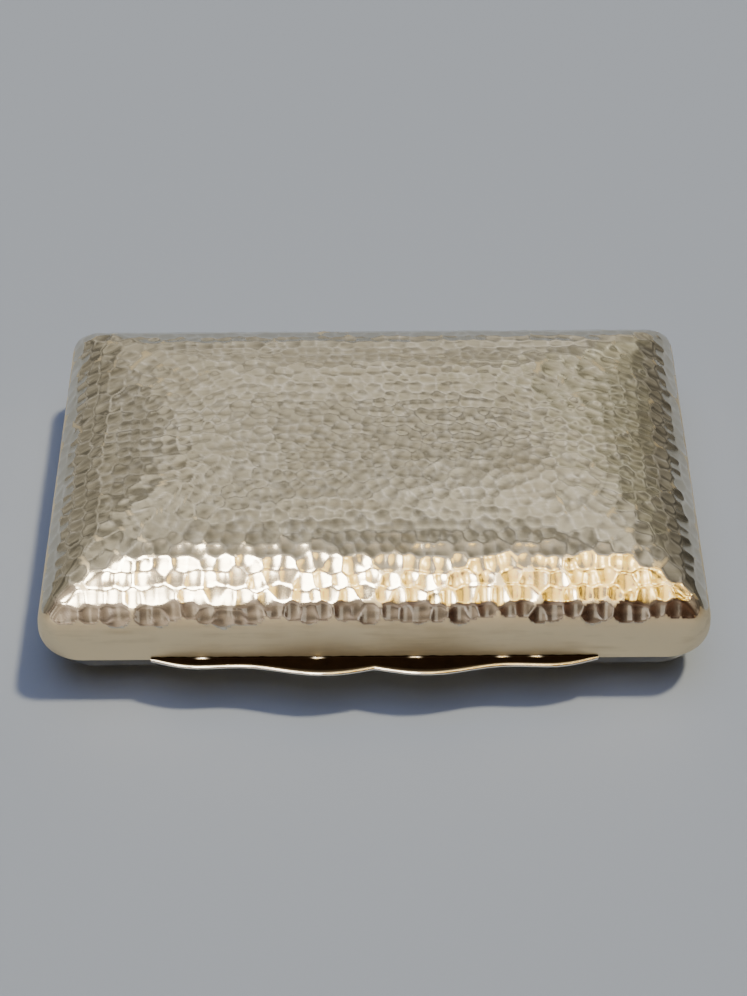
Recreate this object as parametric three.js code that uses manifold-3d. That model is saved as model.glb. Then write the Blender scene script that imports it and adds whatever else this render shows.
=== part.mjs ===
// Cheroot case in hammered silver: a raised cushion lid over a shallow base, hinged along the back.
// Millimetres, +Z up. The origin is the middle of the flat foot, and the thumb-piece faces -Y.
import * as THREE from "three";
import { mergeVertices } from "three/addons/utils/BufferGeometryUtils.js";
import Module from "manifold-3d";

const wasm = await Module();
wasm.setup();

// Shells
const caseLength = 125;
const caseDepth = 79;
const lidHeight = 18.5;
const baseHeight = 10;
const sheetGauge = 0.8;
const cornerRadius = 9; // in plan, at the rim
const hipRadius = 2.5; // in plan, where the lid's corners tighten into hips on the shoulder
const hipFade = 0.8; // inset over which they tighten
const crownSpread = 0.03; // plan radius regained towards the crown, per square millimetre of inset
const lidFullness = 2.9; // power of the superellipse that the lid's section follows
const baseFullness = 2;
const footInset = 16; // from the rim in to the edge of the flat foot
const seamGap = 0.3; // between the two rims when the case is shut
const cornerFacets = 10;
const lidRings = 12;
const baseRings = 8;
const lastLidAngle = 86; // degrees round the section, where the rings give way to the crown
const roundestEnd = 0.98; // share of a ring's half depth that its corners may take

// Thumb-piece, measured along the front from its middle and out from the lid's wall
const thumbLength = 82;
const thumbGauge = 0.9;
const thumbGap = 0.1; // solder line
const thumbDrop = 0.55; // below the lid's rim, so that it laps the seam
const thumbCurl = 0.015; // lift of its front, per square millimetre of reach
const thumbCuspReach = 2.7;
const thumbLobeAt = 9.5;
const thumbLobeReach = 4.1;
const thumbWaistAt = 25;
const thumbWaistReach = 2.1;
const thumbShoulderAt = 32;
const thumbShoulderReach = 2.3;
const thumbTipReach = 0.5;
const thumbStations = 49;
const thumbNoseFacets = 6;

// Bezel and its bead
const bezelGauge = 0.7;
const bezelSeat = 1.6; // below the base's rim
const bezelRise = 2; // above the base's rim
const bezelGap = 0.25; // solder line at its lower edge
const bezelBackStop = 14; // its ends stop this far short of the back
const beadLength = 24;
const beadReach = 0.25;
const beadWidth = 0.8;
const beadGap = 0.05; // solder line
const beadFacets = 8;

// Hinge
const openAngle = 120; // degrees, where the heels of the two joint strips meet
const hingeMargin = 4; // from the rounded corners in to the barrel's ends
const knuckleCount = 9;
const knuckleRadius = 1.5;
const knuckleGap = 0.3;
const knuckleChamfer = 0.2;
const pinRadius = 0.7;
const pinClearance = 0.08;
const plugLength = 1.2;
const plugGap = 0.2;
const jointGauge = 0.7;
const jointGap = 0.3; // between knuckles and strips, and between strips and shells
const jointSeamAngle = 6; // degrees left open each side of the seam
const heelMargin = 0.5; // degrees kept between the heels at the full opening
const barrelFacets = 20;

// Places that follow from the sizes above
const lidRimZ = baseHeight + seamGap;
const hingeY = caseDepth / 2;
const hingeZ = baseHeight + seamGap / 2;
const hingeLength = caseLength - 2 * (cornerRadius + hingeMargin);
const knuckleLength = (hingeLength - (knuckleCount - 1) * knuckleGap) / knuckleCount;
const troughRadius = knuckleRadius + jointGap;
const jointRadius = troughRadius + jointGauge;

// A quarter of a superellipse: the inset runs in from the rim while the rise runs away from it.
function quarterSection(run, rise, fullness) {
  const power = 2 / fullness;
  return {
    at(angle) {
      const inset = run * (1 - Math.cos(angle) ** power);
      return { inset, rise: rise * Math.sin(angle) ** power };
    },
    insetAt(height) {
      return run * (1 - (1 - (height / rise) ** fullness) ** (1 / fullness));
    },
  };
}

const lidOutside = quarterSection(caseDepth / 2, lidHeight, lidFullness);
const lidInside = quarterSection(caseDepth / 2 - sheetGauge, lidHeight - sheetGauge, lidFullness);
const baseOutside = quarterSection(footInset, baseHeight, baseFullness);
const baseInside = quarterSection(footInset, baseHeight - sheetGauge, baseFullness);
const bezelInset = sheetGauge + baseInside.insetAt(bezelSeat) + bezelGap;

// Plan radius of the corners at an inset: the lid's tighten into hips and spread again, the base's don't.
function lidCorner(inset) {
  return hipRadius + (cornerRadius - hipRadius) * Math.exp(-inset / hipFade) + crownSpread * inset ** 2;
}

function baseCorner() {
  return cornerRadius;
}

// A level rounded rectangle, anticlockwise, set in from the outer rim by a wall and an inset.
function levelRing(inset, wall, z, corner) {
  const halfX = caseLength / 2 - wall - inset;
  const halfY = caseDepth / 2 - wall - inset;
  const radius = Math.min(corner(inset) - wall, roundestEnd * halfY);
  const points = [];
  for (const [quarter, signX, signY] of [[0, 1, 1], [1, -1, 1], [2, -1, -1], [3, 1, -1]]) {
    for (let step = 0; step <= cornerFacets; step++) {
      const angle = (quarter + step / cornerFacets) * Math.PI / 2;
      const x = signX * (halfX - radius) + radius * Math.cos(angle);
      const y = signY * (halfY - radius) + radius * Math.sin(angle);
      points.push(new THREE.Vector3(x, y, z));
    }
  }
  return points;
}

// Joins rings of equal count into one closed skin, with a fan to a middle point at each end.
function loft(rings, firstMiddle, lastMiddle) {
  const count = rings[0].length;
  const points = [...rings.flat(), firstMiddle, lastMiddle];
  const first = points.length - 2;
  const last = points.length - 1;
  const end = (rings.length - 1) * count;
  const index = [];
  for (let i = 0; i < count; i++) {
    const next = (i + 1) % count;
    for (let start = 0; start < end; start += count) {
      const [a, b] = [start + i, start + next];
      index.push(a, b, b + count, a, b + count, a + count);
    }
    index.push(first, next, i, last, end + i, end + next);
  }
  return new THREE.BufferGeometry().setFromPoints(points).setIndex(index);
}

// The rings of one face of the lid, from its rim up to the crown.
function lidRingsOf(section, wall) {
  const rings = [];
  for (let step = 0; step <= lidRings; step++) {
    const { inset, rise } = section.at((step / lidRings) * THREE.MathUtils.degToRad(lastLidAngle));
    rings.push(levelRing(inset, wall, lidRimZ + rise, lidCorner));
  }
  return rings;
}

// The rings of one face of the base, from its rim down to the foot.
function baseRingsOf(section, wall) {
  const rings = [];
  for (let step = 0; step <= baseRings; step++) {
    const { inset, rise } = section.at((step / baseRings) * Math.PI / 2);
    rings.push(levelRing(inset, wall, baseHeight - rise, baseCorner));
  }
  return rings;
}

function toSolid(geometry) {
  const bare = new THREE.BufferGeometry();
  bare.setAttribute("position", geometry.getAttribute("position"));
  bare.setIndex(geometry.getIndex());
  const merged = mergeVertices(bare);
  const vertProperties = merged.getAttribute("position").array;
  const triVerts = new Uint32Array(merged.getIndex().array);
  return new wasm.Manifold(new wasm.Mesh({ numProp: 3, vertProperties, triVerts }));
}

function toGeometry(solid) {
  const mesh = solid.getMesh();
  const geometry = new THREE.BufferGeometry();
  geometry.setAttribute("position", new THREE.BufferAttribute(mesh.vertProperties, 3));
  return geometry.setIndex(new THREE.BufferAttribute(mesh.triVerts, 1));
}

// Both back walls are cut away round the joint, along the barrel only.
function cutForJoint(shell) {
  const radius = jointRadius + jointGap;
  const cutter = new THREE.CylinderGeometry(radius, radius, hingeLength + 2 * jointGap, barrelFacets);
  cutter.rotateZ(Math.PI / 2).translate(0, hingeY, hingeZ);
  return toGeometry(toSolid(shell).subtract(toSolid(cutter)));
}

function lidShell() {
  const inside = lidRingsOf(lidInside, sheetGauge);
  const outside = lidRingsOf(lidOutside, 0);
  const crown = new THREE.Vector3(0, 0, lidRimZ + lidHeight);
  const ceiling = new THREE.Vector3(0, 0, crown.z - sheetGauge);
  return cutForJoint(loft([...inside.reverse(), ...outside], ceiling, crown));
}

function baseShell() {
  const inside = baseRingsOf(baseInside, sheetGauge);
  const outside = baseRingsOf(baseOutside, 0);
  const foot = new THREE.Vector3(0, 0, 0);
  const floor = new THREE.Vector3(0, 0, sheetGauge);
  return cutForJoint(loft([...outside.reverse(), ...inside], foot, floor));
}

// How far the thumb-piece stands out: a cusp in the middle, then on each side a lobe, a waist, a shoulder
// and a falling tip.
function thumbReach(x) {
  const along = Math.abs(x);
  const ease = (from, to, share) => from + (to - from) * (1 - Math.cos(Math.PI * share)) / 2;
  const swell = (from, to, share) => from + (to - from) * Math.sin(Math.PI * share / 2);
  if (along < thumbLobeAt) return swell(thumbCuspReach, thumbLobeReach, along / thumbLobeAt);
  if (along < thumbWaistAt) {
    const share = (along - thumbLobeAt) / (thumbWaistAt - thumbLobeAt);
    return ease(thumbLobeReach, thumbWaistReach, share);
  }
  if (along < thumbShoulderAt) {
    const share = (along - thumbWaistAt) / (thumbShoulderAt - thumbWaistAt);
    return ease(thumbWaistReach, thumbShoulderReach, share);
  }
  const share = (thumbLength / 2 - along) / (thumbLength / 2 - thumbShoulderAt);
  return swell(thumbTipReach, thumbShoulderReach, share);
}

// A plate with a rounded nose that curls up a little, drawn section by section along the front of the lid.
function thumbPiece() {
  const half = thumbGauge / 2;
  const wallY = -caseDepth / 2 - thumbGap;
  const middleZ = lidRimZ - thumbDrop + half;
  const curled = (x, reach, z) => new THREE.Vector3(x, wallY - reach, z + thumbCurl * reach ** 2);
  const rings = [];
  for (let station = 0; station < thumbStations; station++) {
    const x = thumbLength * (station / (thumbStations - 1) - 0.5);
    const reach = thumbReach(x);
    const nose = Math.min(half, reach / 2);
    const ring = [curled(x, 0, middleZ - half), curled(x, 0, middleZ + half)];
    for (let step = 0; step <= thumbNoseFacets; step++) {
      const angle = Math.PI * (step / thumbNoseFacets + 0.5);
      ring.push(curled(x, reach - nose - nose * Math.cos(angle), middleZ + half * Math.sin(angle)));
    }
    rings.push(ring);
  }
  const middleOf = (ring) => {
    return ring.reduce((sum, point) => sum.add(point), new THREE.Vector3()).divideScalar(ring.length);
  };
  return loft(rings, middleOf(rings[0]), middleOf(rings.at(-1)));
}

// A U of upright strip: up the left side, along the front and back down the right side.
function baseBezel() {
  const outline = new THREE.Shape();
  const endY = caseDepth / 2 - bezelBackStop;
  const cornerX = caseLength / 2 - cornerRadius;
  const cornerY = -caseDepth / 2 + cornerRadius;
  const outer = cornerRadius - bezelInset;
  const inner = outer - bezelGauge;
  outline.moveTo(-cornerX - outer, endY);
  outline.absarc(-cornerX, cornerY, outer, Math.PI, 1.5 * Math.PI);
  outline.absarc(cornerX, cornerY, outer, 1.5 * Math.PI, 2 * Math.PI);
  outline.lineTo(cornerX + outer, endY);
  outline.lineTo(cornerX + inner, endY);
  outline.absarc(cornerX, cornerY, inner, 2 * Math.PI, 1.5 * Math.PI, true);
  outline.absarc(-cornerX, cornerY, inner, 1.5 * Math.PI, Math.PI, true);
  outline.lineTo(-cornerX - inner, endY);
  const depth = bezelSeat + bezelRise;
  const strip = new THREE.ExtrudeGeometry(outline, { depth, bevelEnabled: false, curveSegments: cornerFacets });
  return strip.translate(0, 0, baseHeight - bezelSeat);
}

// Draws an outline in Y and Z along X, centred on the middle plane.
function alongX(outline, length, curveSegments) {
  const drawn = new THREE.ExtrudeGeometry(outline, { depth: length, bevelEnabled: false, curveSegments });
  drawn.translate(0, 0, -length / 2);
  return drawn.applyMatrix4(new THREE.Matrix4().set(0, 0, 1, 0, 1, 0, 0, 0, 0, 1, 0, 0, 0, 0, 0, 1));
}

// Half an ellipse with its flat back on the bezel's front, half way up what shows of it.
function catchBead() {
  const outline = new THREE.Shape();
  outline.absellipse(0, 0, beadReach, beadWidth / 2, Math.PI / 2, 1.5 * Math.PI);
  const faceY = -caseDepth / 2 + bezelInset - beadGap;
  return alongX(outline, beadLength, beadFacets).translate(0, faceY, baseHeight + bezelRise / 2);
}

// A trough round the barrel, from its heel at the back to its edge at the seam; centred on the hinge line.
function jointStrip(direction) {
  const radians = THREE.MathUtils.degToRad;
  const heel = direction * radians((openAngle + heelMargin) / 2);
  const edge = direction * radians(180 - jointSeamAngle);
  const outline = new THREE.Shape();
  outline.absarc(0, 0, jointRadius, heel, edge, direction < 0);
  outline.absarc(0, 0, troughRadius, edge, heel, direction > 0);
  return alongX(outline, hingeLength, barrelFacets / 2);
}

function knuckle() {
  const bore = pinRadius + pinClearance;
  const end = knuckleLength / 2;
  const profile = [
    [bore, -end],
    [knuckleRadius - knuckleChamfer, -end],
    [knuckleRadius, knuckleChamfer - end],
    [knuckleRadius, end - knuckleChamfer],
    [knuckleRadius - knuckleChamfer, end],
    [bore, end],
    [bore, -end],
  ];
  const points = profile.map(([radius, along]) => new THREE.Vector2(radius, along));
  return new THREE.LatheGeometry(points, barrelFacets).rotateZ(-Math.PI / 2);
}

function wire(length) {
  return new THREE.CylinderGeometry(pinRadius, pinRadius, length, barrelFacets).rotateZ(-Math.PI / 2);
}

const silver = { color: 0xcfcac0, metalness: 1, roughness: 0.18 };
const gilt = { color: 0xd9b25f, metalness: 1, roughness: 0.25 };

function addPiece(group, name, geometry, finish, place) {
  const piece = new THREE.Mesh(geometry, new THREE.MeshStandardMaterial(finish));
  piece.name = name;
  piece.position.set(...place);
  group.add(piece);
}

// The lid's group stands on the hinge line, so turning it about X opens the case.
const cherootCase = new THREE.Group();
const base = new THREE.Group();
const lid = new THREE.Group();
lid.position.set(0, hingeY, hingeZ);
cherootCase.add(base, lid);
const onFoot = [0, 0, 0];
const onHinge = [0, hingeY, hingeZ];
const fromHinge = [0, -hingeY, -hingeZ];

addPiece(lid, "lid_shell", lidShell(), silver, fromHinge);
addPiece(lid, "thumb_piece", thumbPiece(), silver, fromHinge);
addPiece(lid, "lid_joint", jointStrip(1), silver, [0, 0, 0]);
addPiece(base, "base_shell", baseShell(), silver, onFoot);
addPiece(base, "base_bezel", baseBezel(), gilt, onFoot);
addPiece(base, "catch_bead", catchBead(), gilt, onFoot);
addPiece(base, "base_joint", jointStrip(-1), silver, onHinge);

// Knuckles alternate along the barrel, with one of the base's at each end.
for (let i = 0; i < knuckleCount; i++) {
  const x = (i - (knuckleCount - 1) / 2) * (knuckleLength + knuckleGap);
  const number = Math.floor(i / 2) + 1;
  if (i % 2) addPiece(lid, "lid_knuckle_" + number, knuckle(), silver, [x, 0, 0]);
  else addPiece(base, "base_knuckle_" + number, knuckle(), silver, [x, hingeY, hingeZ]);
}

const plugX = (hingeLength - plugLength) / 2;
addPiece(base, "hinge_pin", wire(hingeLength - 2 * (plugLength + plugGap)), silver, onHinge);
addPiece(base, "hinge_plug_left", wire(plugLength), silver, [-plugX, hingeY, hingeZ]);
addPiece(base, "hinge_plug_right", wire(plugLength), silver, [plugX, hingeY, hingeZ]);

export default cherootCase;
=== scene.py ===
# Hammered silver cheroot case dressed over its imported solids. Metres, +Z up, thumb-piece towards -Y.
import math
import bpy
import numpy as np
from mathutils import Matrix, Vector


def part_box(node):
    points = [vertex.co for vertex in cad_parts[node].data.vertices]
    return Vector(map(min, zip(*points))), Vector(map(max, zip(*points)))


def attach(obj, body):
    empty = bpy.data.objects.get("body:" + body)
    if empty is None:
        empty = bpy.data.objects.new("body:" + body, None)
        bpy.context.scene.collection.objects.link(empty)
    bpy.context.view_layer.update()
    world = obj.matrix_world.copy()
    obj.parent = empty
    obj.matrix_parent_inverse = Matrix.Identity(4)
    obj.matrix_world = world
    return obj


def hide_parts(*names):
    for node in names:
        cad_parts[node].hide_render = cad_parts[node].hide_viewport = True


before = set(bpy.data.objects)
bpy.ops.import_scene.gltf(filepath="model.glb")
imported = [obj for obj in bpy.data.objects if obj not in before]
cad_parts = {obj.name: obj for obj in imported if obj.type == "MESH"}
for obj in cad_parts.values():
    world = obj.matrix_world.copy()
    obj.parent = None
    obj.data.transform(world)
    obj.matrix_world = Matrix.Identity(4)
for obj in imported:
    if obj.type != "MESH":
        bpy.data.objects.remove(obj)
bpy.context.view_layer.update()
print("frame loaded:", len(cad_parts), "nodes")
mm = 0.001


# One call per shader node: its kind, the values set on it, and what feeds its sockets.
def addNode(tree, kind, values=None, links=None):
    node = tree.nodes.new(kind)
    for key, value in (values or {}).items():
        if isinstance(key, str) and hasattr(node, key):
            setattr(node, key, value)
        else:
            node.inputs[key].default_value = value
    for key, socket in (links or {}).items():
        tree.links.new(socket, node.inputs[key])
    return node


# sRGB hex to the linear values that shaders take
def linearHex(code):
    parts = [int(code[i:i + 2], 16) / 255 for i in (1, 3, 5)]
    return tuple(p / 12.92 if p <= 0.04045 else ((p + 0.055) / 1.055) ** 2.4 for p in parts) + (1.0,)


def newMaterial(name):
    material = bpy.data.materials.new(name)
    material.use_nodes = True
    tree = material.node_tree
    tree.nodes.clear()
    return material, tree


# A polished metal: one colour, a little dulling in soft patches and hairline handling marks.
def polishedMetal(name, look):
    material, tree = newMaterial(name)
    place = addNode(tree, "ShaderNodeTexCoord").outputs["Object"]
    patches = addNode(tree, "ShaderNodeTexNoise",
                      {"Scale": 1 / (look["patchMm"] * mm), "Detail": 4.0, "Roughness": 0.6},
                      {"Vector": place}).outputs["Fac"]
    rough = addNode(tree, "ShaderNodeMapRange",
                    {"From Min": 0.3, "From Max": 0.75, "To Min": look["smooth"], "To Max": look["rough"]},
                    {"Value": patches}).outputs["Result"]
    tone = addNode(tree, "ShaderNodeMapRange", {"From Min": 0.45, "From Max": 0.8},
                   {"Value": patches}).outputs["Result"]
    colour = addNode(tree, "ShaderNodeMix",
                     {"data_type": "RGBA", 6: linearHex(look["colour"]), 7: linearHex(look["dull"])},
                     {0: tone}).outputs[2]
    hairs = addNode(tree, "ShaderNodeTexNoise",
                    {"Scale": 1 / (look["hairMm"] * mm), "Detail": 2.0, "Distortion": 1.5},
                    {"Vector": place}).outputs["Fac"]
    bump = addNode(tree, "ShaderNodeBump", {"Strength": 1.0, "Distance": look["hairDeepMm"] * mm},
                   {"Height": hairs}).outputs["Normal"]
    metal = addNode(tree, "ShaderNodeBsdfPrincipled", {"Metallic": 1.0},
                    {"Base Color": colour, "Roughness": rough, "Normal": bump})
    addNode(tree, "ShaderNodeOutputMaterial", None, {"Surface": metal.outputs["BSDF"]})
    return material


# Drawn strip and tube, polished: close to a mirror, softer in patches where it has been handled.
plainSilver = polishedMetal("sterling silver, drawn and polished",
                            {"colour": "#f1ede4", "dull": "#ddd3c1", "smooth": 0.04, "rough": 0.09,
                             "patchMm": 9, "hairMm": 0.7, "hairDeepMm": 0.001})
# Gilded and burnished: a warm, soft sheen in which nothing is mirrored sharply.
gilt = polishedMetal("silver gilt, fire gilded and burnished",
                     {"colour": "#edcf92", "dull": "#e0b872", "smooth": 0.16, "rough": 0.3,
                      "patchMm": 11, "hairMm": 0.6, "hairDeepMm": 0.003})
# Wire pulled through a plate: a grey, satin metal beside the silver.
steel = polishedMetal("drawn steel wire",
                      {"colour": "#b9b6b0", "dull": "#8f8a82", "smooth": 0.2, "rough": 0.35,
                       "patchMm": 4, "hairMm": 0.3, "hairDeepMm": 0.003})

# Planished silver, polished by hand: the ridges between the blows are rubbed bright, and the hollows keep a
# thin warm dullness that polishing doesn't reach. Where no blow fell it is satin. Soft patches of tarnish,
# wiped in one direction, lie over all of it.
silverLook = {"ridge": "#f8f2e5", "hollow": "#c9c1ac", "plain": "#dccfb0", "tarnish": "#aea185",
              "ridgeRough": 0.05, "hollowRough": 0.1, "plainRough": 0.4, "tarnishRough": 0.12,
              "patchMm": 16, "wipeMm": 1.3, "wipeStretch": 0.12, "scratchMm": 0.5, "scratchDeepMm": 0.0012,
              "rubMm": 4}


def hammeredSilver():
    material, tree = newMaterial("sterling silver, planished and hand polished")
    place = addNode(tree, "ShaderNodeTexCoord").outputs["Object"]
    ridge = addNode(tree, "ShaderNodeAttribute", {"attribute_name": "ridge"}).outputs["Fac"]
    plain = addNode(tree, "ShaderNodeAttribute", {"attribute_name": "plain"}).outputs["Fac"]
    rubs = addNode(tree, "ShaderNodeTexNoise", {"Scale": 1 / (silverLook["rubMm"] * mm), "Detail": 2.0},
                   {"Vector": place}).outputs["Fac"]
    rubbed = addNode(tree, "ShaderNodeMapRange", {"From Min": 0.35, "From Max": 0.65, "To Min": 0.2},
                     {"Value": rubs}).outputs["Result"]
    ridge = addNode(tree, "ShaderNodeMath", {"operation": "MULTIPLY"}, {0: ridge, 1: rubbed}).outputs["Value"]
    patches = addNode(tree, "ShaderNodeTexNoise",
                      {"Scale": 1 / (silverLook["patchMm"] * mm), "Detail": 4.0, "Roughness": 0.6},
                      {"Vector": place}).outputs["Fac"]
    wiped = addNode(tree, "ShaderNodeMapping", {"Scale": (silverLook["wipeStretch"], 1.0, 1.0)},
                    {"Vector": place}).outputs["Vector"]
    wipes = addNode(tree, "ShaderNodeTexNoise", {"Scale": 1 / (silverLook["wipeMm"] * mm), "Detail": 3.0},
                    {"Vector": wiped}).outputs["Fac"]
    worn = addNode(tree, "ShaderNodeMix",
                   {"data_type": "RGBA", 6: linearHex(silverLook["hollow"]),
                    7: linearHex(silverLook["ridge"])}, {0: ridge}).outputs[2]
    either = addNode(tree, "ShaderNodeMix", {"data_type": "RGBA", 7: linearHex(silverLook["plain"])},
                     {0: plain, 6: worn}).outputs[2]
    stain = addNode(tree, "ShaderNodeMath", {"operation": "MULTIPLY"},
                    {0: patches, 1: wipes}).outputs["Value"]
    stained = addNode(tree, "ShaderNodeMapRange", {"From Min": 0.24, "From Max": 0.42, "To Max": 0.45},
                      {"Value": stain}).outputs["Result"]
    colour = addNode(tree, "ShaderNodeMix", {"data_type": "RGBA", 7: linearHex(silverLook["tarnish"])},
                     {0: stained, 6: either}).outputs[2]
    dull = addNode(tree, "ShaderNodeMapRange",
                   {"To Min": silverLook["hollowRough"], "To Max": silverLook["ridgeRough"]},
                   {"Value": ridge}).outputs["Result"]
    satin = addNode(tree, "ShaderNodeMath", {"operation": "MULTIPLY_ADD", 1: silverLook["plainRough"]},
                    {0: plain, 2: dull}).outputs["Value"]
    rough = addNode(tree, "ShaderNodeMath", {"operation": "MULTIPLY_ADD", 1: silverLook["tarnishRough"]},
                    {0: stained, 2: satin}).outputs["Value"]
    scratches = addNode(tree, "ShaderNodeTexNoise",
                        {"Scale": 1 / (silverLook["scratchMm"] * mm), "Detail": 2.0},
                        {"Vector": wiped}).outputs["Fac"]
    bump = addNode(tree, "ShaderNodeBump", {"Strength": 1.0, "Distance": silverLook["scratchDeepMm"] * mm},
                   {"Height": scratches}).outputs["Normal"]
    metal = addNode(tree, "ShaderNodeBsdfPrincipled", {"Metallic": 1.0},
                    {"Base Color": colour, "Roughness": rough, "Normal": bump})
    addNode(tree, "ShaderNodeOutputMaterial", None, {"Surface": metal.outputs["BSDF"]})
    return material


# The thumb-piece's silver: its front edge is rubbed bright by use. Over the top, back into the angle behind
# it,
# lies painted shade: a brown-black colour, dull and slightly cloudy, that stands in for the dark the plate
# mirrors and the shade in the angle.
thumbLook = {"rubbed": "#efe7d8", "paintedShadeColour": "#0a0603", "paintedShadeMottle": "#1a110a", "paintedShadeMottleMm": 2.5,
             "rubbedRough": 0.08, "paintedShadeRough": 0.6}


def thumbSilver():
    material, tree = newMaterial("sterling silver, tarnished in the angle and rubbed bright at the edge")
    place = addNode(tree, "ShaderNodeTexCoord").outputs["Object"]
    # painted shade share, carried on the plate's points: 1 paints the near-black shade, 0 leaves rubbed
    # silver
    kept = addNode(tree, "ShaderNodeAttribute", {"attribute_name": "kept"}).outputs["Fac"]
    clouds = addNode(tree, "ShaderNodeTexNoise", {"Scale": 1 / (thumbLook["paintedShadeMottleMm"] * mm), "Detail": 3.0},
                     {"Vector": place}).outputs["Fac"]
    # painted shade colour: two near-black browns mottled by noise
    paintedShadeColour = addNode(tree, "ShaderNodeMix",
                   {"data_type": "RGBA", 6: linearHex(thumbLook["paintedShadeColour"]), 7: linearHex(thumbLook["paintedShadeMottle"])},
                   {0: clouds}).outputs[2]
    colour = addNode(tree, "ShaderNodeMix", {"data_type": "RGBA", 6: linearHex(thumbLook["rubbed"])},
                     {0: kept, 7: paintedShadeColour}).outputs[2]
    rough = addNode(tree, "ShaderNodeMapRange",
                    {"To Min": thumbLook["rubbedRough"], "To Max": thumbLook["paintedShadeRough"]},
                    {"Value": kept}).outputs["Result"]
    metal = addNode(tree, "ShaderNodeBsdfPrincipled", {"Metallic": 1.0},
                    {"Base Color": colour, "Roughness": rough})
    addNode(tree, "ShaderNodeOutputMaterial", None, {"Surface": metal.outputs["BSDF"]})
    return material


silver = hammeredSilver()
thumbMetal = thumbSilver()
print("metals mixed")


def addObject(name, data):
    item = bpy.data.objects.new(name, data)
    bpy.context.scene.collection.objects.link(item)
    return item


# A piece of the part: a smooth mesh with edges sharper than an angle kept sharp, on its body, in place of
# its node.
def makePiece(name, points, faces, body, node, materials, faceMaterial=None, sharp=40):
    mesh = bpy.data.meshes.new(name)
    mesh.from_pydata((points * mm).reshape(-1, 3).tolist(), [], faces)
    mesh.update()
    piece = addObject(name, mesh)
    for material in materials:
        mesh.materials.append(material)
    if faceMaterial is not None:
        mesh.polygons.foreach_set("material_index", faceMaterial.astype(np.int32))
    mesh.polygons.foreach_set("use_smooth", np.ones(len(mesh.polygons), bool))
    mesh.set_sharp_from_angle(angle=math.radians(sharp))
    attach(piece, body)
    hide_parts(node)
    return piece


def addValues(piece, name, values):
    piece.data.attributes.new(name, "FLOAT", "POINT").data.foreach_set("value", values.reshape(-1))


# The numbers of a grid's points, in the grid's own rows
def numbered(grid, first=0):
    rows, columns = grid.shape[:2]
    return first + np.arange(rows * columns).reshape(rows, columns)


# Quads between the rows of a grid of point numbers; closing joins the last column, or row, to the first.
def quads(index, closed=False, closedRows=False):
    if closedRows:
        index = np.concatenate([index, index[:1]])
    right = np.roll(index, -1, axis=1)
    if not closed:
        index, right = index[:, :-1], right[:, :-1]
    return np.stack([index[:-1], right[:-1], right[1:], index[1:]], -1).reshape(-1, 4).tolist()


def boxMm(node):
    return [np.array(corner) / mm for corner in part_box(node)]


# The case's form, in mm like all the pieces. Corners are round at the rim, tighten to hips on the lid's
# shoulder and spread again on its crown. The back rim is notched for the joint strips.
lidLow, lidHigh = boxMm("lid_shell")
baseHigh = boxMm("base_shell")[1]
caseForm = {"halfX": lidHigh[0], "halfY": lidHigh[1], "gauge": 0.8, "corner": 9, "hip": 2.5, "hipFade": 0.8,
            "crownSpread": 0.03, "roundest": 0.98, "rimRound": 0.1, "closeOver": 3, "crownLeft": 2,
            "sharp": 35}
notch = {"half": boxMm("lid_joint")[1][0] + 0.3, "deep": 2.5, "from": 1.6, "over": 0.6, "side": 0.2,
         "fade": 8}

# The two shells. Each section is a quarter superellipse: inset run*(1-cos^p), rise height*sin^p, p =
# 2/fullness. Near the rim the wall leans in by the draft times the height, fading out over a few mm. The
# lid's rim is drawn down to close the seam, and the base is tucked in under it. Rows of blows start and
# end by length up the section.
lid = {"body": "lid", "node": "lid_shell", "way": 1, "rimZ": lidLow[2], "hipped": True,
       "run": caseForm["halfY"], "innerRun": caseForm["halfY"] - caseForm["gauge"],
       "rise": lidHigh[2] - lidLow[2],
       "fullness": 2.9, "draft": (0.18, 6), "close": 0.24, "tuck": 0, "plainShare": 1,
       "firstRow": 10.6, "lastRow": math.inf, "seed": 11, "spacing": 0.43, "innerRings": 26}
base = {"body": "base", "node": "base_shell", "way": -1, "rimZ": baseHigh[2], "hipped": False,
        "run": 16, "innerRun": 16, "rise": baseHigh[2],
        "fullness": 2, "draft": (0.4, 2.5), "close": 0, "tuck": 0.3, "plainShare": 0.2,
        "firstRow": 4.6, "lastRow": 18, "seed": 23, "spacing": 0.5, "innerRings": 16}


# Plan radius of the corners at an inset: hip plus the rest fading out, plus the spread times the inset
# squared
def cornerAt(inset, wall, halfY, hipped):
    eased = (caseForm["corner"] - caseForm["hip"]) * np.exp(-inset / caseForm["hipFade"])
    tightened = caseForm["hip"] + eased
    radius = tightened + caseForm["crownSpread"] * inset ** 2 if hipped else caseForm["corner"] + 0 * inset
    return np.maximum(np.minimum(radius - wall, caseForm["roundest"] * halfY), 1e-6)


def lengthAlong(inset, rise):
    return np.concatenate([[0], np.cumsum(np.hypot(np.diff(inset), np.diff(rise)))])


# Inset and rise along a section, spaced evenly by length along the curve, from the rim's round up to the
# crown.
def sectionCurve(shell, run, rise, count):
    angle = np.linspace(0, math.pi / 2, 4000)
    draft, over = shell["draft"]
    inset = run * (1 - np.cos(angle).clip(0) ** (2 / shell["fullness"]))
    up = rise * np.sin(angle) ** (2 / shell["fullness"])
    inset = inset + draft * up * np.exp(-(up / over) ** 2)
    length = lengthAlong(inset, up)
    at = np.linspace(np.interp(caseForm["rimRound"], up, length), length[-1], count)
    return np.interp(at, length, inset), np.interp(at, length, up)


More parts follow.
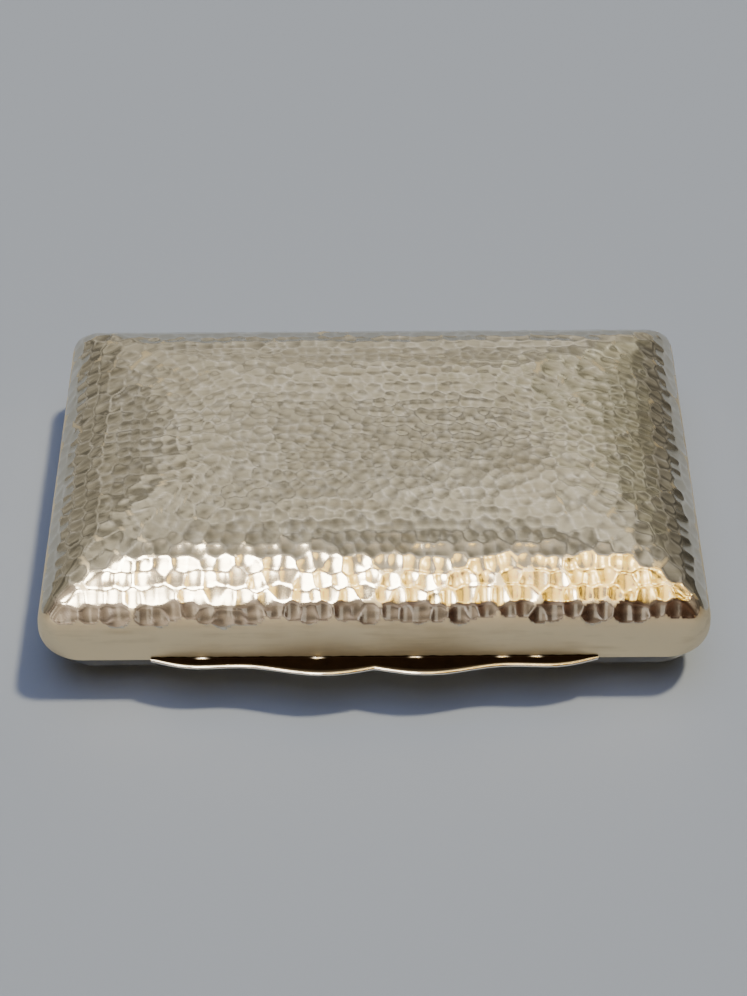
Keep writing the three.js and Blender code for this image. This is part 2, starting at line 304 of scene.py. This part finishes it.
# A point of a level rounded rectangle from its place on a square ring: along each side the square's run is
# shared over the half side, straight part then half of the corner's arc.
def ringPoint(inset, wall, sx, sy, hipped):
    halfX = caseForm["halfX"] - wall - inset
    halfY = caseForm["halfY"] - wall - inset
    radius = cornerAt(inset, wall, halfY, hipped)
    onLong = np.abs(sy) >= np.abs(sx)
    side = np.where(onLong, sx, sy)
    straight = np.where(onLong, halfX, halfY) - radius
    along = np.abs(side) * (straight + radius * math.pi / 4)
    turn = np.maximum(along - straight, 0) / radius
    first = np.sign(side) * (np.minimum(along, straight) + radius * np.sin(turn))
    second = np.where(onLong, np.sign(sy) * (halfY - radius + radius * np.cos(turn)),
                      np.sign(sx) * (halfX - radius + radius * np.cos(turn)))
    return np.where(onLong, first, second), np.where(onLong, second, first)


# Square-ring place from a share of the way round, starting at the middle of the front and going right; the
# third value is the length of the whole round.
def roundTheRing(share, inset, hipped):
    halfX = caseForm["halfX"] - inset
    halfY = caseForm["halfY"] - inset
    radius = cornerAt(inset, 0, halfY, hipped)
    sideX = halfX - radius + radius * math.pi / 4
    sideY = halfY - radius + radius * math.pi / 4
    at = (share % 1) * 4 * (sideX + sideY)
    marks = [at < sideX, at < sideX + 2 * sideY, at < 3 * sideX + 2 * sideY, at < 3 * sideX + 4 * sideY]
    one = np.ones_like(at)
    sx = np.select(marks, [at / sideX, one, 1 - (at - sideX - 2 * sideY) / sideX, -one],
                   (at - 3 * sideX - 4 * sideY) / sideX - 1)
    sy = np.select(marks, [-one, (at - sideX) / sideY - 1, one, 1 - (at - 3 * sideX - 2 * sideY) / sideY],
                   -one)
    return sx, sy, 4 * (sideX + sideY)


# The planishing hammer: depth of a blow, radius that its face leaves, how far it leans, how rounded the
# ridges are and how wide they are worn; then the pitch of the blows, finer on top, and how unevenly they
# fall.
hammer = {"depth": 0.17, "spread": 0.02, "face": 14, "faceSpread": 0.18, "lean": 0.02, "ridge": 0.006,
          "wear": 0.05, "plainFade": 0.02, "pitch": 3.0, "rowPitch": 3.0, "finer": 0.22, "finerFrom": 18,
          "finerOver": 7, "sway": 0.24, "wave": 0.006, "batch": 1500}


# Hammer blows in staggered rows that run round the case from the edge inwards: row pitch up the section,
# blow pitch along the row, both a little uneven and finer on top. Gives the middle, depth, face radius and
# lean of each blow.
def hammerBlows(shell, inset, rise):
    chance = np.random.default_rng(shell["seed"])
    hipped = shell["hipped"]
    length = lengthAlong(inset, rise)
    finer = lambda at: 1 - hammer["finer"] * min(max((at - hammer["finerFrom"]) / hammer["finerOver"], 0), 1)
    first = shell["firstRow"]
    last = min(shell["lastRow"], length[-1])
    lastPitch = hammer["rowPitch"] * finer(last)
    places = [first]
    while places[-1] + 0.5 * lastPitch < last:
        places.append(places[-1] + hammer["rowPitch"] * finer(places[-1]))
    fit = (last - 0.5 * lastPitch - first) / (places[-1] - first)
    rows = []
    for row, place in enumerate(places):
        at = first + fit * (place - first)
        rowInset = np.interp(at, length, inset)
        around = roundTheRing(np.zeros(1), np.full(1, rowInset), hipped)[2][0]
        count = max(int(round(around / (hammer["pitch"] * finer(at)))), 4)
        share = (np.arange(count) + 0.5 * (row % 2) + hammer["sway"] * chance.uniform(-1, 1, count)) / count
        down = at + hammer["sway"] * lastPitch * chance.uniform(-1, 1, count)
        here = np.interp(down, length, inset)
        sx, sy, _ = roundTheRing(share, here, hipped)
        x, y = ringPoint(here, 0, sx, sy, hipped)
        rows.append(np.stack([x, y, np.interp(down, length, rise)], -1))
    middles = np.concatenate(rows)
    depth = hammer["depth"] + hammer["spread"] * chance.standard_normal(len(middles)).clip(-2, 2)
    face = hammer["face"] * (1 + hammer["faceSpread"] * chance.standard_normal(len(middles)).clip(-2, 2))
    lean = hammer["lean"] * chance.standard_normal((len(middles), 3)).clip(-2, 2)
    return middles, depth, face, lean


# Height left by the blows: the lowest of the plain surface and every blow's bowl, d*d/(2*face)-depth plus
# its lean, with the ridges where they meet rounded over by a soft minimum. The second value is 1 on a
# ridge and falls off with the difference between the two lowest bowls; the third is 1 where no blow fell.
def hammeredHeight(points, blows):
    middles, depth, face, lean = (part.astype(np.float32) for part in blows)
    points = points.astype(np.float32)
    height, ridge, plain = np.empty(len(points)), np.empty(len(points)), np.empty(len(points))
    for part in np.array_split(np.arange(len(points)), max(len(points) // hammer["batch"], 1)):
        offset = points[part, None, :] - middles[None]
        bowls = np.minimum((offset ** 2).sum(-1) / (2 * face) + (offset * lean).sum(-1) - depth, 1)
        two = np.minimum(np.partition(bowls, 1, axis=1)[:, :2], 0)
        apart = two[:, 1] - two[:, 0]
        height[part] = two[:, 0] - hammer["ridge"] * np.log(1 + np.exp(-apart / hammer["ridge"]))
        plain[part] = 1 - np.clip(-two[:, 0] / hammer["plainFade"], 0, 1)
        ridge[part] = np.exp(-apart / hammer["wear"]) * (1 - plain[part])
    return height, ridge, plain


# Long shallow unevenness that hand work leaves between the blows: three crossing sine waves, 2 to 6 mm a
# radian
def slowWave(x, y, z):
    waves = np.sin(x / 3.3 + np.sin(y / 5)) + np.sin(y / 2.9 + x / 6.1) + np.sin(z / 2.1 + x / 4.7)
    return hammer["wave"] * waves


# How far the back rim is cut away for the joint strip, in mm above the rim: full depth within the strip's
# length and near the back wall, running out over a short ramp
def notchAt(x, y):
    back = np.clip((y - caseForm["halfY"] + notch["from"]) / notch["over"], 0, 1)
    return notch["deep"] * back * np.clip((notch["half"] + notch["side"] - np.abs(x)) / notch["side"], 0, 1)


# One level ring of a shell at an inset and a rise, with the joint's notch cut out of it; the notch reaches
# through the wall, so the inner rings are tested as if they stood on the outside
def ringOf(inset, rise, wall, sx, sy, within, hipped):
    x, y = ringPoint(np.full(len(sx), inset), wall, sx, sy, hipped)
    cut = notchAt(x, y + caseForm["gauge"] * within) * np.clip(1 - rise / notch["fade"], 0, 1)
    return np.stack([x, y, rise + cut], -1)


# A shell's outside: a square net of evenly spaced points. The net's rings are numbered from the edge, each
# follows the section's inset and rise at that depth, and the blows and waves move every point along its
# normal.
def shellNet(shell):
    hipped, spacing = shell["hipped"], shell["spacing"]
    inset, rise = sectionCurve(shell, shell["run"], shell["rise"], 3000)
    blows = hammerBlows(shell, inset, rise)
    if not hipped:  # the base goes on level as the foot
        flat = np.linspace(inset[-1], caseForm["halfY"], 400)[1:]
        inset = np.concatenate([inset, flat])
        rise = np.concatenate([rise, np.full(len(flat), shell["rise"])])
    length = lengthAlong(inset, rise)
    halfV = length[-1]
    halfU = halfV + caseForm["halfX"] - caseForm["halfY"]
    alongU = np.linspace(-halfU, halfU, 2 * round(halfU / spacing) + 1)
    alongV = np.linspace(-halfV, halfV, 2 * round(halfV / spacing) + 1)
    u, v = np.meshgrid(alongU, alongV, indexing="ij")
    deep = np.minimum(halfU - np.abs(u), halfV - np.abs(v))
    sx = u / (halfU - deep)
    sy = np.where(halfV - deep < 1e-6, 1.0, v / np.maximum(halfV - deep, 1e-9))
    netRise = np.interp(deep, length, rise)
    x, y = ringPoint(np.interp(deep, length, inset), 0, sx, sy, hipped)
    whole = np.clip(deep / notch["fade"], 0, 1)
    up = np.maximum(netRise, notchAt(x, y) * (1 - whole) + netRise * whole)
    points = np.stack([x, y, up], -1)
    normal = np.cross(np.gradient(points, axis=0), np.gradient(points, axis=1))
    normal /= np.linalg.norm(normal, axis=-1, keepdims=True).clip(1e-12)
    height, ridge, plain = hammeredHeight(points.reshape(-1, 3), blows)
    lift = height.reshape(deep.shape) + slowWave(x, y, up)
    return points + normal * (lift * np.clip(deep, 0, 1))[..., None], sx, sy, ridge, plain


# A shell: the net outside, then rings round the rim and over the inside. The inside is plain, so it
# carries every fourth column only. The wall's lowest few mm are drawn out to close the seam. The inside is
# gilt.
def makeShell(name, shell):
    wall, edge, hipped = caseForm["gauge"], caseForm["rimRound"], shell["hipped"]
    net, sx, sy, ridge, plain = shellNet(shell)
    index = numbered(net)
    border = np.concatenate([index[:-1, 0], index[-1, :-1], index[:0:-1, -1], index[0, :0:-1]])
    bx, by = sx.reshape(-1)[border], sy.reshape(-1)[border]
    eased = 0.3 * edge  # about where a quarter round passes at 45 degrees
    rim = [(eased, eased), (edge, 0), (wall - edge, 0), (wall - eased, eased)]
    rimPoints = np.array([ringOf(0, up, across, bx, by, k > 1, hipped) for k, (across, up) in enumerate(rim)])
    innerInset, innerRise = sectionCurve(shell, shell["innerRun"], shell["rise"] - wall, shell["innerRings"])
    keep = innerInset < caseForm["halfY"] - wall - caseForm["crownLeft"]
    innerPoints = np.array([ringOf(i, r, wall, bx[::4], by[::4], True, hipped)
                            for i, r in zip(innerInset[keep], innerRise[keep])])
    rimIndex = numbered(rimPoints, index.size)
    innerIndex = numbered(innerPoints, index.size + rimIndex.size)
    outer = quads(index)
    skirt = quads(np.concatenate([border[None], rimIndex]), closed=True)
    fours = rimIndex[-1].reshape(-1, 4)
    step = np.concatenate([fours, np.roll(fours[:, :1], -1, 0), np.roll(innerIndex[0], -1)[:, None],
                           innerIndex[0][:, None]], 1)
    faces = outer + skirt + step.tolist() + quads(innerIndex, closed=True) + [innerIndex[-1].tolist()]
    gilded = (np.arange(len(faces)) >= len(outer) + 3 * len(bx)).astype(int)
    points = np.concatenate([net.reshape(-1, 3), rimPoints.reshape(-1, 3), innerPoints.reshape(-1, 3)])
    points[:, 2] -= shell["close"] * np.clip(1 - points[:, 2] / caseForm["closeOver"], 0, 1)
    points[:, 2] = shell["rimZ"] + shell["way"] * points[:, 2]
    points[:, :2] *= 1 - shell["tuck"] / np.array([caseForm["halfX"], caseForm["halfY"]])
    if shell["way"] > 0:
        faces = [face[::-1] for face in faces]
    piece = makePiece(name, points, faces, shell["body"], shell["node"], [silver, gilt],
                      gilded, caseForm["sharp"])
    rest = np.ones(len(points) - index.size)
    addValues(piece, "ridge", np.concatenate([ridge, rest]))
    addValues(piece, "plain", np.concatenate([plain * shell["plainShare"], rest]))
    print(name, len(points), "points")


makeShell("lid_hammered", lid)
makeShell("base_hammered", base)


# A closed skin from sections carried along a path: each row of points is one section, and the two ends are
# capped.
def sweptPiece(name, sections, body, material):
    index = numbered(sections)
    faces = quads(index, closed=True) + [index[0, ::-1].tolist(), index[-1].tolist()]
    return makePiece(name + "_dressed", sections, faces, body, name, [material])


# The thumb-piece's reach from the wall along its length, its plate, the solder behind it, and the places
# along the solder that have been rubbed bright, left out of the painted shade so that the lamps glint there.
# Painted shade lies over the top in the shares given, from the wall to the nose.
thumb = {"half": 41, "gauge": 0.9, "cusp": 2.7, "lobeAt": 9.5, "lobe": 4.1, "waistAt": 25, "waist": 2.1,
         "shoulderAt": 32, "shoulder": 2.3, "tip": 0.5, "curl": 0.015, "fillet": 0.3, "filletUneven": 0.25,
         "sink": 0.02, "rubs": (-31.6, -10.4, 7.5, 23.5, 29.6), "rubWide": 0.7,
         "kept": (1, 1, 1, 1, 1, 0.95, 0.75, 0.5, 0.2), "sections": 221, "cuspSections": 21, "nosePoints": 15}


# Reach of the thumb-piece from the wall: a cusp in the middle, then a lobe, a waist, a shoulder and a
# falling tip on each side. Between these it follows a half cosine, and a quarter sine at the cusp and the
# tip.
def thumbReach(along):
    ease = lambda a, b, s: a + (b - a) * (1 - np.cos(math.pi * s.clip(0, 1))) / 2
    swell = lambda a, b, s: a + (b - a) * np.sin(math.pi / 2 * s.clip(0, 1))
    along = np.abs(along)
    lobeAt, waistAt, shoulderAt = thumb["lobeAt"], thumb["waistAt"], thumb["shoulderAt"]
    lobe = swell(thumb["cusp"], thumb["lobe"], along / lobeAt)
    waist = ease(thumb["lobe"], thumb["waist"], (along - lobeAt) / (waistAt - lobeAt))
    shoulder = ease(thumb["waist"], thumb["shoulder"], (along - waistAt) / (shoulderAt - waistAt))
    tip = swell(thumb["tip"], thumb["shoulder"], (thumb["half"] - along) / (thumb["half"] - shoulderAt))
    return np.select([along < lobeAt, along < waistAt, along < shoulderAt], [lobe, waist, shoulder], tip)


# Each section is the plate cut across: a flat back on the lid's wall with a fillet of solder above, and a
# half-round nose. The whole plate curls up by curl times the square of its reach. Sections stand closer at
# the cusp.
def thumbSections():
    x = np.sort(np.concatenate([np.linspace(-thumb["half"], thumb["half"], thumb["sections"]),
                                np.linspace(-1, 1, thumb["cuspSections"])[1:-1]]))
    reach = thumbReach(x)[:, None]
    half = thumb["gauge"] / 2
    nose = np.minimum(half, reach / 2)
    uneven = 1 + thumb["filletUneven"] * np.sin(x * 1.9) * np.sin(x * 0.7)
    fillet = np.minimum(thumb["fillet"] * uneven[:, None], 0.4 * reach)
    turn = np.linspace(0.5, 1.5, thumb["nosePoints"]) * math.pi
    bend = np.linspace(0, 0.5, 7) * math.pi
    top = fillet + (reach - nose - fillet) * np.array([0.03, 0.2, 0.4, 0.6, 0.8, 0.97])
    out = np.concatenate([np.zeros((len(x), 1)), fillet * (1 - np.cos(bend)), top,
                          reach - nose - nose * np.cos(turn)], 1)
    up = np.concatenate([np.full((len(x), 1), -half), half + fillet * (1 - np.sin(bend)),
                         np.full(top.shape, half),
                         np.broadcast_to(half * np.sin(turn), (len(x), len(turn)))], 1)
    y = thumb["sink"] - caseForm["halfY"] - out
    z = boxMm("thumb_piece")[0][2] + half + up + thumb["curl"] * out ** 2
    rubs = np.exp(-((x[:, None] - np.array(thumb["rubs"])) / thumb["rubWide"]) ** 2)
    # painted shade: over the solder except at the rubs, and over the top and onto the nose in the given
    # shares
    kept = np.zeros(out.shape)
    kept[:, 1:8] = 1 - rubs.sum(1, keepdims=True).clip(0, 1)
    kept[:, 8:8 + len(thumb["kept"])] = thumb["kept"]
    return np.stack([np.broadcast_to(x[:, None], out.shape), y, z], -1), kept


plate, kept = thumbSections()
addValues(sweptPiece("thumb_piece", plate, "lid", thumbMetal), "kept", kept)

# The hinge: knuckles on one line round a wire, each body's joint strip a trough behind them from heel to
# seam edge, both given as angles in degrees
hinge = {"y": caseForm["halfY"], "z": (lidLow[2] + baseHigh[2]) / 2, "half": boxMm("lid_joint")[1][0],
         "knuckle": 1.5, "bore": 0.78, "ease": 0.2, "trough": 1.8, "strip": 2.5, "heel": 60.25, "edge": 174,
         "pin": 0.7, "dome": 0.12, "arcPoints": 40, "tubePoints": 48, "wirePoints": 40}


# A trough: outer arc from heel to seam edge, inner arc back again, with the corners eased by a few
# hundredths of a radian, drawn along X from end to end
def stripSections(way):
    heel, edge = math.radians(hinge["heel"]), math.radians(hinge["edge"])
    arc = np.linspace(heel + 0.06, edge - 0.03, hinge["arcPoints"])
    across = hinge["trough"] + (hinge["strip"] - hinge["trough"]) * np.array([0.12, 0.5, 0.88])
    outer, inner = np.full(len(arc), hinge["strip"]), np.full(len(arc), hinge["trough"])
    radius = np.concatenate([outer, across[::-1], inner, across])
    angle = way * np.concatenate([arc, [edge - 0.01, edge, edge - 0.01], arc[::-1],
                                  [heel + 0.02, heel, heel + 0.02]])
    ring = np.stack([np.zeros(len(angle)), hinge["y"] + radius * np.cos(angle),
                     hinge["z"] + radius * np.sin(angle)], -1)
    ends = np.array([-hinge["half"], hinge["half"]])
    sections = ring[None] + ends[:, None, None] * np.array([1, 0, 0])
    return sections if way > 0 else sections[:, ::-1]


sweptPiece("lid_joint", stripSections(1), "lid", plainSilver)
sweptPiece("base_joint", stripSections(-1), "base", plainSilver)


# A knuckle turned about X: the profile runs along the outside with eased ends and back through the bore.
def knucklePiece(node):
    low, high = (corner[0] for corner in boxMm(node))
    outer, bore, ease, count = hinge["knuckle"], hinge["bore"], hinge["ease"], hinge["tubePoints"]
    bend = np.linspace(0, math.pi / 2, 5)
    back, fall = ease * (1 - np.sin(bend)), ease * (1 - np.cos(bend))
    along = np.concatenate([[low], low + back[::-1], high - back, [high, high, low]])
    radius = np.concatenate([[bore], outer - fall[::-1], outer - fall, [outer - ease, bore, bore]])
    turn = np.linspace(0, 2 * math.pi, count, endpoint=False)[:, None]
    points = np.stack([np.broadcast_to(along, (count, len(along))), hinge["y"] + radius * np.cos(turn),
                       hinge["z"] + radius * np.sin(turn)], -1)
    makePiece(node + "_dressed", points, quads(numbered(points)[::-1], True, True), node.split("_")[0], node,
              [plainSilver])


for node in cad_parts:
    if "_knuckle_" in node:
        knucklePiece(node)


# Round wire along the hinge line, domed a little at both ends: rings of 0.7, 0.93 and the full radius
def wireSections(node):
    low, high = (corner[0] for corner in boxMm(node))
    turn = np.linspace(0, 2 * math.pi, hinge["wirePoints"], endpoint=False)
    inwards, shares = hinge["dome"] * np.array([0, 0.4, 1.0]), np.array([0.7, 0.93, 1.0])
    along = np.concatenate([low + inwards, high - inwards[::-1]])
    wide = hinge["pin"] * np.concatenate([shares, shares[::-1]])
    ring = np.stack([np.zeros(len(turn)), np.cos(turn), np.sin(turn)], -1)
    middle = np.stack([along, np.full(len(along), hinge["y"]), np.full(len(along), hinge["z"])], -1)
    return wide[:, None, None] * ring[None] + middle[:, None]


for node, wire, slot in (("hinge_pin", steel, "pin_wire"),
                         ("hinge_plug_left", plainSilver, "polished_silver"),
                         ("hinge_plug_right", plainSilver, "polished_silver")):
    sweptPiece(node, wireSections(node), "base", wire)

bezelLow, bezelHigh = boxMm("base_bezel")
bezel = {"gauge": 0.7, "corner": caseForm["corner"] - (caseForm["halfX"] - bezelHigh[0]), "cornerPoints": 24,
         "topPoints": 9}


# The bezel: an upright strip with a half-round top edge carried round a U of two sides, two corners and
# the front. The path's rows are a point and the direction outwards there.
def bezelSections():
    radius, half = bezel["corner"], bezel["gauge"] / 2
    cornerX, cornerY = bezelHigh[0] - radius, bezelLow[1] + radius
    turn = np.linspace(0, math.pi / 2, bezel["cornerPoints"])
    left = np.stack([-cornerX - radius * np.cos(turn), cornerY - radius * np.sin(turn), -np.cos(turn),
                     -np.sin(turn)], -1)
    right = left[::-1] * np.array([-1, 1, -1, 1])
    path = np.concatenate([[[-bezelHigh[0], bezelHigh[1], -1, 0]], left, right,
                           [[bezelHigh[0], bezelHigh[1], 1, 0]]])
    bend = np.linspace(0, math.pi, bezel["topPoints"])
    back = np.concatenate([[bezel["gauge"], 0], half - half * np.cos(bend)])
    up = np.concatenate([[bezelLow[2], bezelLow[2]], bezelHigh[2] - half + half * np.sin(bend)])
    x = path[:, None, 0] - path[:, None, 2] * back
    y = path[:, None, 1] - path[:, None, 3] * back
    return np.stack([x, y, np.broadcast_to(up, x.shape)], -1)[:, ::-1]


sweptPiece("base_bezel", bezelSections(), "base", gilt)

beadLow, beadHigh = boxMm("catch_bead")
bead = {"sink": 0.04, "blunt": 14, "thinnest": 0.02, "sections": 41, "points": 13}


# The catch bead: half an ellipse on the bezel's front, thinning at its ends by the root of 1 minus the
# share along it to the power blunt
def beadSections():
    along = np.linspace(-1, 1, bead["sections"])
    thin = np.sqrt(np.clip(1 - np.abs(along) ** bead["blunt"], bead["thinnest"], 1))[:, None]
    turn = np.linspace(0.5, 1.5, bead["points"]) * math.pi
    reach, high = beadHigh[1] - beadLow[1], (beadHigh[2] - beadLow[2]) / 2
    y = beadHigh[1] + bead["sink"] + (reach + bead["sink"]) * thin * np.cos(turn)
    z = (beadLow[2] + beadHigh[2]) / 2 + high * thin * np.sin(turn)
    return np.stack([np.broadcast_to(beadHigh[0] * along[:, None], y.shape), y, z], -1)


sweptPiece("catch_bead", beadSections(), "base", gilt)
print("small pieces dressed")

# Uncoated paper, matt all over. It lies a hair below the foot, so that the two share no plane.
paper = {"colour": "#b4bbc4", "rough": 0.9, "half": 12, "z": -0.03 * mm}
floorMaterial, floorTree = newMaterial("pale studio paper")
floorShade = addNode(floorTree, "ShaderNodeBsdfPrincipled",
                     {"Base Color": linearHex(paper["colour"]), "Roughness": paper["rough"]})
addNode(floorTree, "ShaderNodeOutputMaterial", None, {"Surface": floorShade.outputs["BSDF"]})
floorMesh = bpy.data.meshes.new("floor")
floorCorners = [(x * paper["half"], y * paper["half"], paper["z"])
                for x, y in ((-1, -1), (1, -1), (1, 1), (-1, 1))]
floorMesh.from_pydata(floorCorners, [], [(0, 1, 2, 3)])
floorMesh.materials.append(floorMaterial)
floor = addObject("floor", floorMesh)

# Overhead on the left hang big round lamps in cream shades, and on the right rows of round golden tiles,
# each with a small glint. They and the cards in front are only mirrored in the metal. The floor has a warm
# key from above on the right and a cool fill from straight above, which aren't mirrored.
studio = {
    "height": 1.2, "hang": 0.05, "stagger": 0.01, "sway": 0.03, "tileWide": 1.25, "tileDeep": 1.3,
    "rows": ((-1.02, 0.32), (-0.66, 0.24), (-0.38, 0.19), (-0.11, 0.19)),  # place and depth
    "columns": ((0.12, 0.2, 4, "#ffd468"), (0.33, 0.15, 2.6, "#ffcf40"), (0.53, 0.16, 2.2, "#ffcb3c"),
                (0.74, 0.15, 2.6, "#ffcf40"), (0.95, 0.16, 2, "#ffc838")),  # place, width, brightness, colour
    "glint": (0.06, 0.07, 14, "#fff0c4"),
    "lamps": ((-0.18, -1.02, 0.25, 0.34), (-0.52, -0.98, 0.23, 0.3), (-0.14, -0.5, 0.25, 0.3),
              (-0.49, -0.46, 0.25, 0.28), (-0.2, -0.08, 0.23, 0.22), (-0.54, -0.06, 0.22, 0.18)),
    "lamp": (24, "#fff8ea"), "shade": (1.8, "#f6dca6"), "shadeSize": 1.35,
    # heading, height, width, how tall, colour
    "cards": ((-44, 0.5, 0.22, 0.6, "#e9e4dc"), (-27, 0.4, 0.1, 0.5, "#f2ece2"),
              (-12, 0.45, 0.08, 0.5, "#e6dcd4"), (4, 0.4, 0.1, 0.4, "#ece8e6"),
              (24, 0.3, 0.05, 0.3, "#ffd9b0")),
    "cardAway": 1.2, "card": 0.6,
    "key": ((0.36, 0.15, 1.0), 2.35, 5, "#fff4d6"), "fill": ((0, 0, 1.6), 1.2, 60, "#a4bff6")}


# A lamp hung at a place and turned to face an aim
def hangLamp(name, light, place, aim):
    lamp = addObject(name, light)
    away = np.array(aim, float) - np.array(place, float)
    lamp.location = place
    tilt = math.atan2(math.hypot(away[0], away[1]), -away[2])
    lamp.rotation_euler = (tilt, 0, math.atan2(-away[0], away[1]))
    return lamp


# Area light by the brightness it shows in a mirror: power is pi times area times brightness
def panel(name, place, aim, wide, deep, bright, colour, shape):
    light = bpy.data.lights.new(name, "AREA")
    light.shape = shape
    light.size, light.size_y = wide, deep
    light.energy = math.pi * wide * deep * (1 if shape == "RECTANGLE" else math.pi / 4) * bright
    light.color = linearHex(colour)[:3]
    hangLamp(name, light, place, aim).visible_diffuse = False


def overhead(name, x, y, drop, wide, deep, bright, colour):
    panel(name, (x, y, studio["height"] - drop), (x, y, 0), wide, deep, bright, colour, "ELLIPSE")


# Light that falls evenly on the whole floor from one direction, softer with a wider angle, and isn't
# mirrored
def evenLight(name, place, strength, angle, colour):
    light = bpy.data.lights.new(name, "SUN")
    light.energy, light.angle, light.color = strength, math.radians(angle), linearHex(colour)[:3]
    hangLamp(name, light, place, (0, 0, 0)).visible_glossy = False


for row, (y, deep) in enumerate(studio["rows"]):
    for column, (x, wide, bright, colour) in enumerate(studio["columns"]):
        shift = studio["sway"] * math.sin(3 * row + 2 * column + 4)
        drop = studio["stagger"] * ((row + column) % 2)
        overhead(f"tile_{row}_{column}", x + shift, y, drop, studio["tileWide"] * wide,
                 studio["tileDeep"] * deep, bright, colour)
        overhead(f"glint_{row}_{column}", x + 2 * shift, y + shift, studio["hang"], *studio["glint"])
for number, (x, y, wide, deep) in enumerate(studio["lamps"]):
    wider = studio["shadeSize"]
    overhead(f"shade_{number}", x, y, 0, wider * wide, wider * deep, *studio["shade"])
    overhead(f"lamp_{number}", x, y, studio["hang"], wide, deep, *studio["lamp"])
for number, (heading, high, wide, tall, colour) in enumerate(studio["cards"]):
    turn = math.radians(heading)
    place = (studio["cardAway"] * math.sin(turn), -studio["cardAway"] * math.cos(turn), high)
    panel(f"card_{number}", place, (0, 0, 0), wide, tall, studio["card"], colour, "RECTANGLE")
for name in ("key", "fill"):
    evenLight(name, *studio[name])

# The room: beige behind, brown in front with a dark red-brown doorway on the right, darker to the sides.
# Level smears of light and dark make it uneven, which is what each hollow of the hammering shows. Low
# behind on the right is a soft warm glow.
room = {"front": "#d4c3b6", "doorway": "#634a3d", "back": "#cfcabf", "glow": "#fffdd4",
        "glowAt": (0.37, 0.79, 0.485), "glowShare": 0.3, "leftShade": 0.48, "rightShade": 0.24,
        "smear": (1.0, 1.3, 3.2), "smearScale": 3.4, "darkest": 0.42, "lightest": 1.58}
world = bpy.data.worlds.new("studio")
bpy.context.scene.world = world
world.use_nodes = True
world.cycles_visibility.diffuse = False
tree = world.node_tree
tree.nodes.clear()
heading = addNode(tree, "ShaderNodeTexCoord").outputs["Generated"]
parts = addNode(tree, "ShaderNodeSeparateXYZ", None, {"Vector": heading}).outputs
toRight = addNode(tree, "ShaderNodeMapRange", {"From Min": -0.15, "From Max": 0.2},
                  {"Value": parts["X"]}).outputs["Result"]
pastRight = addNode(tree, "ShaderNodeMapRange",
                    {"From Min": 0.4, "From Max": 0.58, "To Min": 1.0, "To Max": 0.0},
                    {"Value": parts["X"]}).outputs["Result"]
doorway = addNode(tree, "ShaderNodeMath", {"operation": "MULTIPLY"},
                  {0: toRight, 1: pastRight}).outputs["Value"]
front = addNode(tree, "ShaderNodeMix",
                {"data_type": "RGBA", 6: linearHex(room["front"]), 7: linearHex(room["doorway"])},
                {0: doorway}).outputs[2]
toBack = addNode(tree, "ShaderNodeMapRange", {"From Min": -0.25, "From Max": 0.25},
                 {"Value": parts["Y"]}).outputs["Result"]
walls = addNode(tree, "ShaderNodeMix", {"data_type": "RGBA", 7: linearHex(room["back"])},
                {0: toBack, 6: front}).outputs[2]
near = addNode(tree, "ShaderNodeVectorMath", {"operation": "DOT_PRODUCT", 1: room["glowAt"]},
               {0: heading}).outputs["Value"]
glow = addNode(tree, "ShaderNodeMapRange",
               {"interpolation_type": "SMOOTHSTEP", "From Min": 0.93, "To Max": room["glowShare"]},
               {"Value": near}).outputs["Result"]
walls = addNode(tree, "ShaderNodeMix", {"data_type": "RGBA", 7: linearHex(room["glow"])},
                {0: glow, 6: walls}).outputs[2]
left = addNode(tree, "ShaderNodeMapRange", {"From Min": -0.95, "From Max": -0.4, "To Min": room["leftShade"]},
               {"Value": parts["X"]}).outputs["Result"]
right = addNode(tree, "ShaderNodeMapRange",
                {"From Min": 0.2, "From Max": 0.85, "To Min": 1.0, "To Max": room["rightShade"]},
                {"Value": parts["X"]}).outputs["Result"]
elevation = addNode(tree, "ShaderNodeMath", {"operation": "ARCSINE"}, {0: parts["Z"]}).outputs["Value"]
lifted = addNode(tree, "ShaderNodeMapRange",
                 {"From Min": 0.45, "From Max": 1.15, "To Min": 0.85, "To Max": 1.25},
                 {"Value": elevation}).outputs["Result"]
level = addNode(tree, "ShaderNodeMapping", {"Scale": room["smear"]}, {"Vector": heading}).outputs["Vector"]
clutter = addNode(tree, "ShaderNodeTexNoise", {"Scale": room["smearScale"], "Detail": 1.5, "Roughness": 0.6},
                  {"Vector": level}).outputs["Fac"]
bright = addNode(tree, "ShaderNodeMapRange",
                 {"From Min": 0.35, "From Max": 0.65, "To Min": room["darkest"], "To Max": room["lightest"]},
                 {"Value": clutter}).outputs["Result"]
for share in (left, right, lifted):
    bright = addNode(tree, "ShaderNodeMath", {"operation": "MULTIPLY"},
                     {0: bright, 1: share}).outputs["Value"]
sky = addNode(tree, "ShaderNodeBackground", None, {"Color": walls, "Strength": bright})
addNode(tree, "ShaderNodeOutputWorld", None, {"Surface": sky.outputs["Background"]})
print("studio lit:", len(bpy.data.lights), "lights")

# Camera: the photo's, from the front and half above, with its slight roll; metres and degrees
view = {"lens": 74.1, "nearest": 0.01, "down": 47.82, "roll": -0.35, "away": 0.2702, "aboveRim": 0.2983}
cameraData = bpy.data.cameras.new("camera")
cameraData.lens = view["lens"]
cameraData.clip_start = view["nearest"]
camera = addObject("camera", cameraData)
tilt = Matrix.Rotation(math.radians(90 - view["down"]), 4, "X")
roll = Matrix.Rotation(math.radians(view["roll"]), 4, "Z")
camera.matrix_world = Matrix.Translation((0, -view["away"], view["aboveRim"] + lidLow[2] * mm)) @ tilt @ roll
bpy.context.scene.camera = camera
